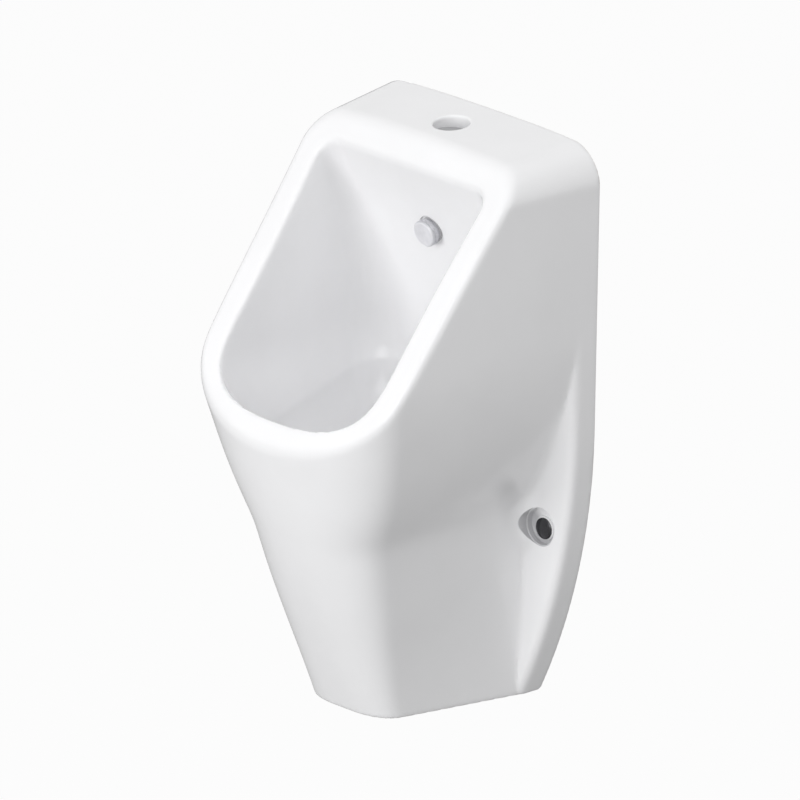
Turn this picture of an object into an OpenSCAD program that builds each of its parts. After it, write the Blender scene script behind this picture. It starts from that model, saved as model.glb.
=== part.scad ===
// Wall-hung urinal with its inlet, waste, trap and side fixings. Units are mm.
// X is to the right, Y is towards the wall (wall plane y = 0), Z is up from the base.

/* [Ceramic body] */
// overall width at the wall
body_w = 305; // [290:1:330]
// overall depth, wall to lip
body_d = 290; // [275:1:320]
// overall height
body_h = 562; // [540:1:600]
// wall thickness of the ceramic
wall = 11; // [9:0.5:12]
// thickness of the back plate
plate_t = 30; // [26:1:34]

/* [Water inlet] */
// diameter of the hole in the top
inlet_hole_d = 35; // [32:0.5:38]
// distance of the inlet hole from the wall
inlet_y = 49.4; // [48:0.2:51]
// outer diameter of the inlet tube
inlet_tube_d = 20; // [18:0.5:20]
// diameter of the spray head
nozzle_d = 27; // [24:0.5:30]
// downward tilt of the spray head in degrees
nozzle_tilt = 14; // [10:1:18]

/* [Side fixings] */
// distance of each fixing hole from the edge of the back plate
fix_inset = 41.5; // [40:0.5:44]
// height of the fixing holes above the base
fix_z = 175; // [170:1:180]
// diameter of the fixing holes
fix_hole_d = 16; // [14:0.5:18]
// diameter of the recess around each fixing
recess_d = 36; // [34:0.5:38]
// height of the middle of the recess above the fixing hole
recess_up = 3; // [2:0.5:4]
// depth of the recess behind the face of the back plate
recess_deep = 7; // [6:0.5:8]
// diameter of the chrome cap
cap_d = 21; // [20:0.5:24]

/* [Waste and trap] */
// distance of the waste hole from the wall
waste_y = 122; // [118:1:126]
// outer diameter of the waste tube
waste_d = 44; // [42:1:46]
// outer diameter of the trap body
trap_d = 64; // [62:1:66]
// drop from the floor of the bowl to the middle of the outlet pipe
outlet_drop = 90; // [86:1:94]
// outer diameter of the outlet pipe
outlet_d = 40; // [38:1:42]

/* [Hidden] */
$fn = 64;

// scale of the shape tables, which are written for 305 x 290 x 562
kx = body_w / 305;
ky = body_d / 290;
kz = body_h / 562;

// rim plane: through the crease and the lip
crease_v = 90.3 * ky;
crease_z = 552.5 * kz;
lip_v = 290 * ky;
lip_z = 290.5 * kz;
rim_a = atan2(crease_z - lip_z, lip_v - crease_v);

// shape tables: height against value
T_T = [[0, 0.212], [165, 0.056], [290, 0.083], [366, 0.079], [562, 0.125]];
T_F = [[0, 178.7], [165, 248.6], [290, 290], [366, 313.6], [562, 353.6]];
T_A = [[0, 151], [165, 196.3], [290, 224.4], [366, 237.4], [562, 237.4]];
T_N = [[0, 3.07], [165, 2.32], [290, 2.16], [366, 2.12], [562, 2.12]];
// bowl: back wall, side margin, front, start of the front curve, its power, back corner radius
B_V = [[222, 60], [300, 27], [320, 28.5], [343, 34], [375, 44.5], [408, 55.5], [435, 65],
  [468, 76.5], [501, 92], [529.7, 107.7], [560, 126]];
B_G = [[222, 14], [250, 16], [300, 20], [320, 21.8], [366, 28.5], [560, 28.5]];
B_F = [[222, 234], [250, 246], [290, 261], [313, 272.6], [366, 303], [560, 330]];
B_A = [[222, 150], [300, 188], [366, 208], [560, 208]];
B_N = [[222, 2.3], [300, 2.6], [366, 2.8], [560, 2.8]];
B_R = [[222, 62], [300, 54], [400, 38], [500, 24], [530, 20], [560, 20]];
BOWL_Z0 = 222;
BOWL_Z1 = 560;

// smooth interpolation through the points of a table
function slope(T, i) = (T[i + 1][1] - T[i][1]) / (T[i + 1][0] - T[i][0]);
function tang(T, i) = i == 0 ? slope(T, 0)
  : i == len(T) - 1 ? slope(T, i - 1) : (slope(T, i - 1) + slope(T, i)) / 2;
function seg(T, z, i = 0) = i >= len(T) - 2 || z < T[i + 1][0] ? i : seg(T, z, i + 1);
function herm(T, i, h, u) = T[i][1] * (2 * u * u * u - 3 * u * u + 1)
  + h * tang(T, i) * (u * u * u - 2 * u * u + u)
  + T[i + 1][1] * (3 * u * u - 2 * u * u * u)
  + h * tang(T, i + 1) * (u * u * u - u * u);
function hm_at(T, z, i) = herm(T, i, T[i + 1][0] - T[i][0], (z - T[i][0]) / (T[i + 1][0] - T[i][0]));
function clampz(T, z) = min(max(z, T[0][0]), T[len(T) - 1][0]);
function hm(T, z) = hm_at(T, clampz(T, z), seg(T, clampz(T, z)));
function smax(a, b, k) = (a + b + sqrt((a - b) * (a - b) + k * k)) / 2;
function sst(a, b, x) = let(u = min(max((x - a) / (b - a), 0), 1)) u * u * (3 - 2 * u);

// half width at the wall of the belly and the skirt, before the sides close in
function flare(z, z0) = let(u = (z - z0) / (385 - z0))
  90 + 62.5 * (u < 0 ? 2.3 * u : 1 - pow(1 - min(u, 1), 2.3));
function wall_x(v, z) = min(152.5, smax(90, flare(z, 203 - 0.06 * v), 12) - 0.6);
// top corners, rounded over 42
function corner(z) = z < 520 ? 0 : 42 - sqrt(max(42 * 42 - (z - 520) * (z - 520), 0));
// half width of the back plate
function plate_x(z) = (z > 280 ? 152.5 : 152.5 - 620 + sqrt(620 * 620 - (280 - z) * (280 - z)))
  - corner(z);
function side_x(v, z) = min(wall_x(v, z) - hm(T_T, z) * max(v, 0) - corner(z), plate_x(z));
// fall of the top face to the front and to the sides
function top_drop(x, v, z) = sst(430, 562, z) * (9.5 * max(v, 0) / 90 + 4.3 * x * x / 22500);

// outer skin: right half of one level, wall to front; o is the inward offset
NS = 8;
NA = 12;
function skin_half(z, o) = let(
    yf = hm(T_F, z), va = hm(T_A, z), n = hm(T_N, z))
  concat(
    [for (i = [0 : NS - 1]) let(v = -4 + (va + 4) * i / NS) [side_x(v, z) - o, v]],
    [for (i = [0 : NA]) let(a = 90 * i / NA, v = va + (yf - va) * pow(sin(a), 2 / n))
      [(side_x(v, z) * pow(max(cos(a), 0), 2 / n)) - o * pow(max(cos(a), 0), 1),
       v - o * 1.08 * sin(a)]]);
function mirror_ring(h) = concat(h, [for (i = [len(h) - 2 : -1 : 0]) [-h[i][0], h[i][1]]]);
function skin_ring(z, o, s) = [for (p = mirror_ring(skin_half(z, o)))
  [p[0] * s * kx, -p[1] * ky, (z - top_drop(p[0] * s, p[1], z)) * kz]];

ZS = [0, 30, 60, 90, 120, 145, 165, 178, 188, 196, 204, 212, 222, 236, 252, 270, 290, 315, 345,
  385, 430, 475, 520, 531, 541.5, 550.5, 557, 561, 562];

// faces between stacked rings of m points, with strips closing the first and the last
function ring_faces(k, m) = [for (j = [0 : k - 2]) for (i = [0 : m - 1])
  let(a = j * m + i, b = j * m + (i + 1) % m) each [[a, b, a + m], [b, b + m, a + m]]];
function cap_strip(base, m, up) = [for (i = [0 : floor(m / 2) - 1])
  let(a = base + i, b = base + i + 1, c = base + m - 2 - i, d = base + m - 1 - i)
  each (b == c ? [up ? [a, b, d] : [a, d, b]]
    : up ? [[a, b, d], [b, c, d]] : [[a, d, b], [b, d, c]])];

module stack(rings) {
  m = len(rings[0]);
  k = len(rings);
  polyhedron(points = [for (r = rings) each r],
    faces = concat(ring_faces(k, m), cap_strip(0, m, false), cap_strip((k - 1) * m, m, true)),
    convexity = 8);
}

module skin_solid() {
  stack(concat([for (z = ZS) skin_ring(z, 0, 1)], [skin_ring(562, 0, 0.66), skin_ring(562, 0, 0.33)]));
}

module skin_void() {
  zs = [for (z = ZS) -2 + z * (562 - wall / kz + 1) / 562];
  stack([for (z = zs) skin_ring(z, wall / kx, 1)]);
}

// back plate: it narrows with the sides at the top, where it runs into the skin
function plate_ring(z) = let(t = hm(T_T, z) * sst(250, 385, z), f = plate_t / ky)
  [for (p = [[plate_x(z), -4], [plate_x(z) - t * f, f], [-plate_x(z) + t * f, f], [-plate_x(z), -4]])
    [p[0] * kx, -p[1] * ky, z * kz]];
module plate_solid() {
  stack([for (i = [0 : 28]) plate_ring(i < 21 ? 14 * i : 280 + 15 * (i - 20))]);
}

// everything in front of the rim plane, moved back by o
module rim_cut(o) {
  translate([0, -crease_v, crease_z]) rotate([rim_a, 0, 0])
    translate([-300, -600, -o]) cube([600, 1200, 500]);
}

// bowl: rings tilt from the shoulder at the bottom to level at the top
function shoulder(v) = 294 - 0.2 * (v - 26);
function bowl_z(v, m) = shoulder(v) + (BOWL_Z1 - shoulder(v)) * m;
function bowl_x(v, z, o) = side_x(v, min(z, 519)) - hm(B_G, z) + o;
function bowl_half(m, o) = let(
    zb = bowl_z(26, m), zf = bowl_z(255, m), zm = bowl_z(120, m),
    vb = hm(B_V, zb) - o, r = hm(B_R, zb) + o * 0.7, yf = hm(B_F, zf) + o * 1.08,
    va = hm(B_A, zm), n = hm(B_N, zm), xb = bowl_x(vb + r, zb, o))
  concat(
    [for (i = [0 : 3]) [(xb - r) * i / 4, vb]],
    [for (i = [0 : 6]) let(a = 15 * i, v = vb + r * (1 - cos(a)))
      [bowl_x(v, bowl_z(v, m), o) - r + r * sin(a), v]],
    [for (i = [1 : 4]) let(v = vb + r + (va - vb - r) * i / 5) [bowl_x(v, bowl_z(v, m), o), v]],
    [for (i = [0 : 11]) let(a = 90 * i / 11, v = va + (yf - va) * pow(sin(a), 2 / n))
      [bowl_x(v, bowl_z(v, m), o) * pow(max(cos(a), 0), 2 / n), v]]);
function full_ring(h) = concat(h, [for (i = [len(h) - 2 : -1 : 1]) [-h[i][0], h[i][1]]]);
BC = 122;
function floor_pt(p, a, zd, rd) = let(dx = p[0], dv = p[1] - BC, l = sqrt(dx * dx + dv * dv),
    s = sin(a), x = dx * (rd / l + (1 - rd / l) * s), v = BC + dv * (rd / l + (1 - rd / l) * s))
  [x, v, zd + (shoulder(p[1]) - zd) * (1 - cos(a))];
function bowl_up(m, o) = [for (p = full_ring(bowl_half(m, o))) [p[0], p[1], bowl_z(p[1], m)]];
function bowl_down(a, o, zd, rd) = [for (p = full_ring(bowl_half(0, o))) floor_pt(p, a, zd, rd)];
function place(r) = [for (p = r) [p[0] * kx, -p[1] * ky, p[2] * kz]];
MS = [0, 0.06, 0.13, 0.21, 0.3, 0.4, 0.5, 0.6, 0.7, 0.79, 0.87, 0.94, 1];

module bowl_solid(o) {
  stack(concat(
    [for (a = [0, 14, 28, 42, 56, 70, 80]) place(bowl_down(a, o, BOWL_Z0 - o * 1.1, 36 + o * 0.4))],
    [for (m = MS) place(bowl_up(m, o))]));
}

// places of the fittings
top_z = (562 - 9.5 * inlet_y / ky / 90) * kz;
top_in = (562 - wall / kz - 1 - 9.5 * inlet_y / ky / 90) * kz;
floor_z = BOWL_Z0 * kz;
under_z = floor_z - wall - 1;
outlet_z = floor_z - outlet_drop;
fix_x = body_w / 2 - fix_inset;
noz_v = hm(B_V, 455) * ky;
noz_z = 456 * kz;
cap_in = 10;
fix_y = plate_t - recess_deep - cap_in;
seat = wall - 1;

// a frame whose +Z runs out of the bowl's back wall along the spray head
module at_nozzle() {
  translate([0, -noz_v, noz_z]) rotate([90 + nozzle_tilt, 0, 0]) children();
}
module at_fix(s) {
  translate([s * fix_x, -fix_y, fix_z]) rotate([90, 0, 0]) children();
}
module at_waste() {
  translate([0, -waste_y, 0]) children();
}
module ring(od, id, z0, z1) {
  translate([0, 0, z0]) difference() {
    cylinder(d = od, h = z1 - z0);
    translate([0, 0, -1]) cylinder(d = id, h = z1 - z0 + 2);
  }
}
// six-sided nut, across flats af
module nut(af, id, z0, z1) {
  translate([0, 0, z0]) difference() {
    linear_extrude(z1 - z0) polygon([for (i = [0 : 5]) af / sqrt(3) * [cos(60 * i), sin(60 * i)]]);
    translate([0, 0, -1]) cylinder(d = id, h = z1 - z0 + 2);
  }
}
// round hand nut with n grip ribs and an inner lip
module hand_nut(od, id, lip_id, z0, z1, lip, n) {
  difference() {
    union() {
      translate([0, 0, z0]) cylinder(d = od, h = z1 - z0);
      for (i = [0 : n - 1]) rotate([0, 0, 360 * i / n])
        translate([od / 2 - 2, -2, z0 + 1.5]) cube([3.5, 4, z1 - z0 - 3]);
    }
    translate([0, 0, lip > 0 ? z0 - 1 : z0 - lip]) cylinder(d = id, h = z1 - z0 - abs(lip) + 1);
    translate([0, 0, z0 - 2]) cylinder(d = lip_id, h = z1 - z0 + 4);
  }
}

// the fired body in one piece, without its holes
module cast_body() {
  resize([body_w, body_d + 4 * ky, body_h]) difference() {
    union() {
      difference() {
        union() {
          skin_solid();
          plate_solid();
        }
        difference() {
          skin_void();
          bowl_solid(wall);
          rim_cut(wall + 1);
        }
      }
      // tie across the back at the base
      translate([-80 * kx, -12, 0]) cube([160 * kx, 12 + 4 * ky, 14]);
    }
    bowl_solid(0);
    rim_cut(0);
  }
}

// its six zones, which butt together in one casting: two planes at x, one at z
zone_x = 60 * kx;
zone_z = 300 * kz;
module zone(x0, x1, z0, z1) {
  resize([0, 0, 0]) intersection() {
    cast_body();
    translate([x0, -2 * body_d, z0]) cube([x1 - x0, 3 * body_d, z1 - z0]);
  }
}
module wall_face() {
  translate([-body_w, 0, -10]) cube([2 * body_w, 50, body_h + 20]);
}
module glazed() {
  color([0.96, 0.96, 0.97]) children();
}

// zone at the side of the skirt, with its fixing hole, flat seat and recess
module skirt_side(s) {
  glazed() difference() {
    zone(s > 0 ? zone_x : -body_w, s > 0 ? body_w : -zone_x, -1, zone_z);
    wall_face();
    at_fix(s) translate([0, 0, -fix_y - 10]) cylinder(d = fix_hole_d, h = fix_y + 20);
    at_fix(s) cylinder(d = cap_d + 2, h = 2 * cap_in);
    at_fix(s) translate([0, recess_up, cap_in]) cylinder(d = recess_d, h = 60);
  }
}

// front of the skirt and floor of the bowl, with flat seats round the waste hole
module skirt_front() {
  glazed() difference() {
    zone(-zone_x, zone_x, -1, zone_z);
    wall_face();
    at_waste() translate([0, 0, under_z - 20]) cylinder(d = waste_d + 2, h = 60);
    at_waste() translate([0, 0, under_z - 8]) cylinder(d = 74, h = 8);
    at_waste() translate([0, 0, floor_z]) cylinder(d = 68, h = 10);
  }
}

module flank(s) {
  glazed() difference() {
    zone(s > 0 ? zone_x : -body_w, s > 0 ? body_w : -zone_x, zone_z, body_h + 1);
    wall_face();
  }
}

// back wall of the bowl and the top, with the inlet hole and the spray head's hole and seats
module bowl_back() {
  glazed() difference() {
    zone(-zone_x, zone_x, zone_z, body_h + 1);
    wall_face();
    translate([0, -inlet_y, top_z - 60]) cylinder(d = inlet_hole_d, h = 90);
    translate([0, -inlet_y, top_in - 40]) cylinder(d = inlet_hole_d + 10, h = 41);
    at_nozzle() translate([0, 0, -40]) cylinder(d = 21, h = 60);
    at_nozzle() translate([0, 0, -seat - 22]) cylinder(d = 34, h = 22);
    at_nozzle() cylinder(d = nozzle_d + 3, h = 12);
  }
}

module inlet_seal() {
  color([0.62, 0.62, 0.63]) translate([0, -inlet_y, 0]) difference() {
    union() {
      translate([0, 0, top_in]) cylinder(d = inlet_hole_d, h = top_z - top_in - 10);
      translate([0, 0, top_in - 2]) cylinder(d = inlet_hole_d + 8, h = 3);
      translate([0, 0, top_in - 15]) cylinder(d = inlet_tube_d + 8, h = 14);
    }
    translate([0, 0, top_in - 20]) cylinder(d = inlet_tube_d, h = 60);
  }
}

elbow_z = noz_z + 22;

module inlet_tube() {
  color([0.78, 0.79, 0.8]) translate([0, -inlet_y, 0])
    ring(inlet_tube_d, inlet_tube_d - 4, elbow_z + 4, top_z - 14);
}

// the elbow joins the tube to the stem of the spray head behind its nut
module inlet_elbow() {
  color([0.8, 0.65, 0.3]) difference() {
    union() {
      translate([0, -inlet_y, elbow_z]) cylinder(d = inlet_tube_d + 6, h = 24);
      translate([0, 6 - inlet_y, noz_z + 8]) cylinder(d = 18, h = 17);
      at_nozzle() translate([0, 0, -seat - 28]) cylinder(d = 24, h = 19);
    }
    translate([0, -inlet_y, elbow_z + 4]) cylinder(d = inlet_tube_d, h = 40);
    translate([0, 4 - inlet_y, noz_z + 12]) cylinder(d = 11, h = 17);
    at_nozzle() translate([0, 0, -seat - 25]) cylinder(d = 12, h = 30);
    at_nozzle() translate([0, 0, -seat - 20]) cylinder(d = 20, h = 20);
  }
}

module elbow_seal() {
  color([0.1, 0.1, 0.1]) translate([0, -inlet_y, 0])
    ring(inlet_tube_d + 5, inlet_tube_d, elbow_z + 24, elbow_z + 27);
}

module nozzle_stem() {
  color([0.8, 0.65, 0.3]) at_nozzle() ring(20, 12, -seat - 20, 9.5);
}

module nozzle_nut() {
  color([0.8, 0.65, 0.3]) at_nozzle() nut(27, 20, -seat - 8, -seat - 2);
}

module nozzle_gasket_rear() {
  color([0.1, 0.1, 0.1]) at_nozzle() ring(30, 20, -seat - 2, -seat);
}

module nozzle_gasket_front() {
  color([0.1, 0.1, 0.1]) at_nozzle() ring(26, 20.1, 0, 2);
}

// disc with a serrated edge; the spray slots are on its underside rim
module nozzle_head() {
  color([0.86, 0.86, 0.88]) at_nozzle() difference() {
    union() {
      translate([0, 0, 2]) cylinder(d = 24, h = 5);
      translate([0, 0, 6]) cylinder(d = nozzle_d, h = 5);
      translate([0, 0, 11]) cylinder(d1 = nozzle_d, d2 = nozzle_d - 3, h = 2);
    }
    translate([0, 0, 1]) cylinder(d = 20.1, h = 9);
    for (i = [0 : 23]) rotate([0, 0, 15 * i])
      translate([nozzle_d / 2 - 0.8, -0.7, 5]) cube([3, 1.4, 4.5]);
  }
}

module strainer() {
  color([0.8, 0.81, 0.83]) at_waste() difference() {
    union() {
      translate([0, 0, floor_z + 4.1]) cylinder(d = 58, h = 2);
      translate([0, 0, floor_z + 6.1]) cylinder(d1 = 58, d2 = 50, h = 1.5);
      ring(waste_d - 6.2, waste_d - 9, floor_z - 6, floor_z + 4.2);
      translate([0, 0, floor_z + 7]) cylinder(d = 9, h = 6);
      translate([0, 0, floor_z + 13]) sphere(d = 12);
    }
    for (n = [0 : 7]) rotate([0, 0, 45 * n])
      translate([10, 0, floor_z]) cylinder(d = 4.5, h = 12, $fn = 24);
    for (n = [0 : 11]) rotate([0, 0, 30 * n + 15])
      translate([15, 0, floor_z]) cylinder(d = 4.5, h = 12, $fn = 24);
  }
}

module waste_flange() {
  color([0.85, 0.85, 0.87]) at_waste() difference() {
    union() {
      translate([0, 0, floor_z + 2]) cylinder(d = 66, h = 3.5);
      translate([0, 0, floor_z - 56]) cylinder(d = waste_d, h = 59);
    }
    translate([0, 0, floor_z - 60]) cylinder(d = waste_d - 6, h = 80);
    translate([0, 0, floor_z + 4]) cylinder(d = 58.2, h = 10);
  }
}

module waste_gasket_upper() {
  color([0.1, 0.1, 0.1]) at_waste() ring(64, waste_d, floor_z, floor_z + 2);
}

module waste_gasket_lower() {
  color([0.1, 0.1, 0.1]) at_waste() ring(66, waste_d, under_z - 3, under_z);
}

module waste_nut() {
  color([0.8, 0.65, 0.3]) at_waste() nut(62, waste_d, under_z - 12, under_z - 3);
}

// trap, hung on the waste tube by its slip nut
sock_z = floor_z - 64;
cup_z = outlet_z - 36;
module slip_nut() {
  color([0.93, 0.93, 0.94]) at_waste()
    hand_nut(60, waste_d + 8, waste_d + 0.4, sock_z + 9, sock_z + 33, 4, 16);
}

module cone_washer() {
  color([0.1, 0.1, 0.1]) at_waste() difference() {
    translate([0, 0, sock_z + 24]) cylinder(d1 = waste_d + 3, d2 = waste_d + 7.5, h = 5);
    translate([0, 0, sock_z + 20]) cylinder(d = waste_d, h = 20);
  }
}

module trap_body() {
  color([0.94, 0.94, 0.95]) difference() {
    union() {
      at_waste() translate([0, 0, sock_z - 4]) cylinder(d = waste_d + 8, h = 28);
      at_waste() translate([0, 0, cup_z]) cylinder(d = trap_d, h = sock_z - cup_z);
      translate([0, -waste_y, outlet_z]) rotate([-90, 0, 0]) cylinder(d = outlet_d + 6, h = waste_y - 72);
    }
    at_waste() translate([0, 0, sock_z]) cylinder(d = waste_d + 0.2, h = 40);
    at_waste() translate([0, 0, sock_z - 8]) cylinder(d = 38.2, h = 40);
    at_waste() translate([0, 0, cup_z - 4]) cylinder(d = trap_d - 6, h = sock_z - cup_z - 1);
    translate([0, -waste_y, outlet_z]) rotate([-90, 0, 0]) cylinder(d = outlet_d - 4, h = waste_y);
  }
}

module dip_tube() {
  color([0.9, 0.9, 0.91]) at_waste() difference() {
    union() {
      translate([0, 0, sock_z - 78]) cylinder(d = 38, h = 80);
      translate([0, 0, sock_z]) cylinder(d = waste_d, h = 5);
    }
    translate([0, 0, sock_z - 80]) cylinder(d = 33, h = 100);
  }
}

module trap_cup() {
  color([0.92, 0.92, 0.93]) at_waste() difference() {
    union() {
      translate([0, 0, cup_z - 50]) cylinder(d = trap_d + 5.6, h = 57);
      for (i = [0 : 15]) rotate([0, 0, 22.5 * i])
        translate([trap_d / 2 + 1.5, -2, cup_z - 14]) cube([2.8, 4, 19]);
    }
    translate([0, 0, cup_z - 3.5]) cylinder(d = trap_d + 0.2, h = 20);
    translate([0, 0, cup_z - 46]) cylinder(d = trap_d - 6, h = 60);
  }
}

module trap_cup_seal() {
  color([0.1, 0.1, 0.1]) at_waste() ring(trap_d, trap_d - 5.8, cup_z - 3.5, cup_z);
}

module at_outlet() {
  translate([0, -72, outlet_z]) rotate([-90, 0, 0]) children();
}

module outlet_nut() {
  color([0.93, 0.93, 0.94]) at_outlet()
    hand_nut(outlet_d + 14, outlet_d + 6, outlet_d + 0.4, -12, 11, 4, 14);
}

module outlet_seal() {
  color([0.1, 0.1, 0.1]) at_outlet() ring(outlet_d + 5.6, outlet_d - 4, 0, 3);
}

module outlet_pipe() {
  color([0.9, 0.9, 0.91]) at_outlet() difference() {
    union() {
      translate([0, 0, 3]) cylinder(d = outlet_d + 5.6, h = 3.8);
      translate([0, 0, 3]) cylinder(d = outlet_d, h = 42);
      translate([0, 0, 38]) cylinder(d1 = outlet_d, d2 = outlet_d + 20, h = 8);
      translate([0, 0, 46]) cylinder(d = outlet_d + 20, h = 23);
    }
    translate([0, 0, 0]) cylinder(d = outlet_d - 4, h = 80);
    translate([0, 0, 48]) cylinder(d = outlet_d + 15, h = 30);
  }
}

module wall_seal() {
  color([0.1, 0.1, 0.1]) at_outlet() difference() {
    translate([0, 0, 57]) cylinder(d = outlet_d + 15, h = 9);
    translate([0, 0, 56]) cylinder(d = outlet_d + 10, h = 12);
  }
}

module fixing_sleeves() {
  color([0.9, 0.9, 0.9]) for (s = [-1, 1]) at_fix(s) difference() {
    union() {
      translate([0, 0, -fix_y]) cylinder(d = fix_hole_d, h = fix_y);
      cylinder(d = 22, h = 1.5);
    }
    translate([0, 0, -fix_y - 1]) cylinder(d = 10.4, h = fix_y + 10);
  }
}

module fixing_washers() {
  color([0.75, 0.76, 0.78]) for (s = [-1, 1]) at_fix(s) ring(18, 10.4, 1.5, 3);
}

module fixing_nuts() {
  color([0.75, 0.76, 0.78]) for (s = [-1, 1]) at_fix(s) nut(13, 8.4, 3, 9.5);
}

// push-on cap over the nut: a hollow cup with a domed end
module cap(s) {
  color([0.8, 0.8, 0.82]) at_fix(s) difference() {
    union() {
      translate([0, 0, 3.2]) cylinder(d = cap_d, h = 9.8);
      translate([0, 0, 13]) intersection() {
        cylinder(d = cap_d, h = 5);
        translate([0, 0, -cap_d * 1.1]) sphere(r = cap_d * 1.1 + 2, $fn = 96);
      }
    }
    translate([0, 0, 2]) cylinder(d = 15.6, h = 9);
  }
}

skirt_side(1);  // skirt_right
skirt_side(-1);  // skirt_left
skirt_front();
flank(1);  // flank_right
flank(-1);  // flank_left
bowl_back();
inlet_seal();
inlet_tube();
inlet_elbow();
elbow_seal();
nozzle_stem();
nozzle_nut();
nozzle_gasket_rear();
nozzle_gasket_front();
nozzle_head();
strainer();
waste_flange();
waste_gasket_upper();
waste_gasket_lower();
waste_nut();
slip_nut();
cone_washer();
trap_body();
dip_tube();
trap_cup();
trap_cup_seal();
outlet_nut();
outlet_seal();
outlet_pipe();
wall_seal();
fixing_sleeves();
fixing_washers();
fixing_nuts();
cap(1);  // cap_right
cap(-1);  // cap_left
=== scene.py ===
"""Wall-hung urinal: glazed body, spray head, grate, trap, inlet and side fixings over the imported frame."""
import math

import bmesh
import bpy
import numpy as np
from bpy.props import FloatProperty, FloatVectorProperty, IntProperty, PointerProperty
from bpy.types import Operator, Panel, PropertyGroup
from mathutils import Matrix, Vector


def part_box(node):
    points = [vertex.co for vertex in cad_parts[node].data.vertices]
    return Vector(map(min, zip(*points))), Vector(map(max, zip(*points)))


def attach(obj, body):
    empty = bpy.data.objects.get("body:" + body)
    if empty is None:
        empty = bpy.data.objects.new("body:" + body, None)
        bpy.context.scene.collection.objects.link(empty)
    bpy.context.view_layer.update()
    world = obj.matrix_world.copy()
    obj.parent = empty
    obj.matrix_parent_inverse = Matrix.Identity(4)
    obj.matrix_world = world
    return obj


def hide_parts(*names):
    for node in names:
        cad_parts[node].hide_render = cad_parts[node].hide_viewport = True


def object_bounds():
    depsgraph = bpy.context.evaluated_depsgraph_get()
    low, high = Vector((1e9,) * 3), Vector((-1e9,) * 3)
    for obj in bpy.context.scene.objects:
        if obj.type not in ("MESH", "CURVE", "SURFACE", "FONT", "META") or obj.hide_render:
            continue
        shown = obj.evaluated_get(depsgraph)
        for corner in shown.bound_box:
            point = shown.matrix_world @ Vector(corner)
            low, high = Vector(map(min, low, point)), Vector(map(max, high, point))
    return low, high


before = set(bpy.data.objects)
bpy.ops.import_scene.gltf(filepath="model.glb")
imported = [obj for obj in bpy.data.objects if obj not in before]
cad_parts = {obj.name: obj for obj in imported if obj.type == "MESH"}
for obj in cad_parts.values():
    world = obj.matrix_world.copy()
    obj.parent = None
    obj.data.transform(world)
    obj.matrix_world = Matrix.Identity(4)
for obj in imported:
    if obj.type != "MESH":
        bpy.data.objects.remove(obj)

CAD_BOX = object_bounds()

bl_info = {
    "name": "Wall-hung urinal",
    "version": (1, 0, 0),
    "blender": (4, 5, 0),
    "location": "3D View > Sidebar > Urinal",
    "description": "Builds the glazed body and the fittings of a wall-hung urinal over its packed frame",
    "category": "Add Mesh",
}

MM = 0.001
ZONES = ("skirt_right", "skirt_left", "skirt_front", "flank_right", "flank_left", "bowl_back")

# places of the fittings, in mm
INLET_Y, WASTE_Y = 49.4, 122.0
HEAD_V, HEAD_Z, HEAD_TILT = 71.69, 456.0, 14.0
FIX_X, FIX_Y, FIX_Z, RECESS_UP = 111.0, 13.0, 175.0, 3.0
OUTLET_Y, OUTLET_Z = 72.0, 132.0


def local(origin, rot_x=0.0):
    """A frame at a point in mm, turned about X."""
    return Matrix.Translation(Vector(origin)) @ Matrix.Rotation(math.radians(rot_x), 4, "X")


AT_INLET = local((0, -INLET_Y, 0))
AT_WASTE = local((0, -WASTE_Y, 0))
AT_HEAD = local((0, -HEAD_V, HEAD_Z), 90 + HEAD_TILT)
AT_OUTLET = local((0, -OUTLET_Y, OUTLET_Z), -90)
AT_FIX = {1: local((FIX_X, -FIX_Y, FIX_Z), 90), -1: local((-FIX_X, -FIX_Y, FIX_Z), 90)}


# Settings

class UrinalBody(PropertyGroup):
    step: FloatProperty(name="Mesh step", description="Spacing of the grid that the body is drawn on",
                        default=0.0031, min=0.0028, max=0.008, unit="LENGTH")
    rim_round: FloatProperty(name="Rim rounding", description="Softness of the outer edge of the rim",
                             default=0.009, min=0.004, max=0.02, unit="LENGTH")
    bowl_round: FloatProperty(name="Bowl edge rounding", description="Softness of the inner edge of the rim",
                              default=0.0065, min=0.004, max=0.02, unit="LENGTH")
    plate_round: FloatProperty(name="Plate rounding", description="Softness of the edge of the back plate",
                               default=0.0095, min=0.004, max=0.02, unit="LENGTH")
    glaze: FloatVectorProperty(name="Glaze", description="Colour of the glaze", subtype="COLOR",
                               default=(0.915, 0.915, 0.925), size=3, min=0, max=1)
    bisque: FloatVectorProperty(name="Bare clay", description="Colour of the unglazed back and foot",
                                subtype="COLOR", default=(0.72, 0.70, 0.66), size=3, min=0, max=1)


class UrinalFittings(PropertyGroup):
    chrome: FloatVectorProperty(name="Chrome", description="Colour of the polished chrome", subtype="COLOR",
                                default=(0.70, 0.71, 0.73), size=3, min=0, max=1)
    # painted reflection: the caps' near-black colour stands in for the shadowy surroundings that their chrome
    # reflects
    cap_painted_reflection: FloatVectorProperty(name="Dark chrome", description="Colour of the side caps", subtype="COLOR",
                              default=(0.085, 0.085, 0.09), size=3, min=0, max=1)
    satin: FloatVectorProperty(name="Satin chrome", description="Colour of the spray head", subtype="COLOR",
                               default=(0.84, 0.84, 0.87), size=3, min=0, max=1)
    plastic: FloatVectorProperty(name="Trap plastic", description="Colour of the trap", subtype="COLOR",
                                 default=(0.78, 0.78, 0.79), size=3, min=0, max=1)
    brass: FloatVectorProperty(name="Brass", description="Colour of the brass fittings", subtype="COLOR",
                               default=(0.68, 0.50, 0.22), size=3, min=0, max=1)
    grips: IntProperty(name="Grip ribs", description="Ribs round each hand nut", default=16, min=6, max=40)
    slots: IntProperty(name="Spray slots", description="Slots round the spray head", default=24, min=8,
                       max=48)
    holes: IntProperty(name="Grate holes", description="Holes in the outer row of the grate",
                       default=12, min=6, max=16)


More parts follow.
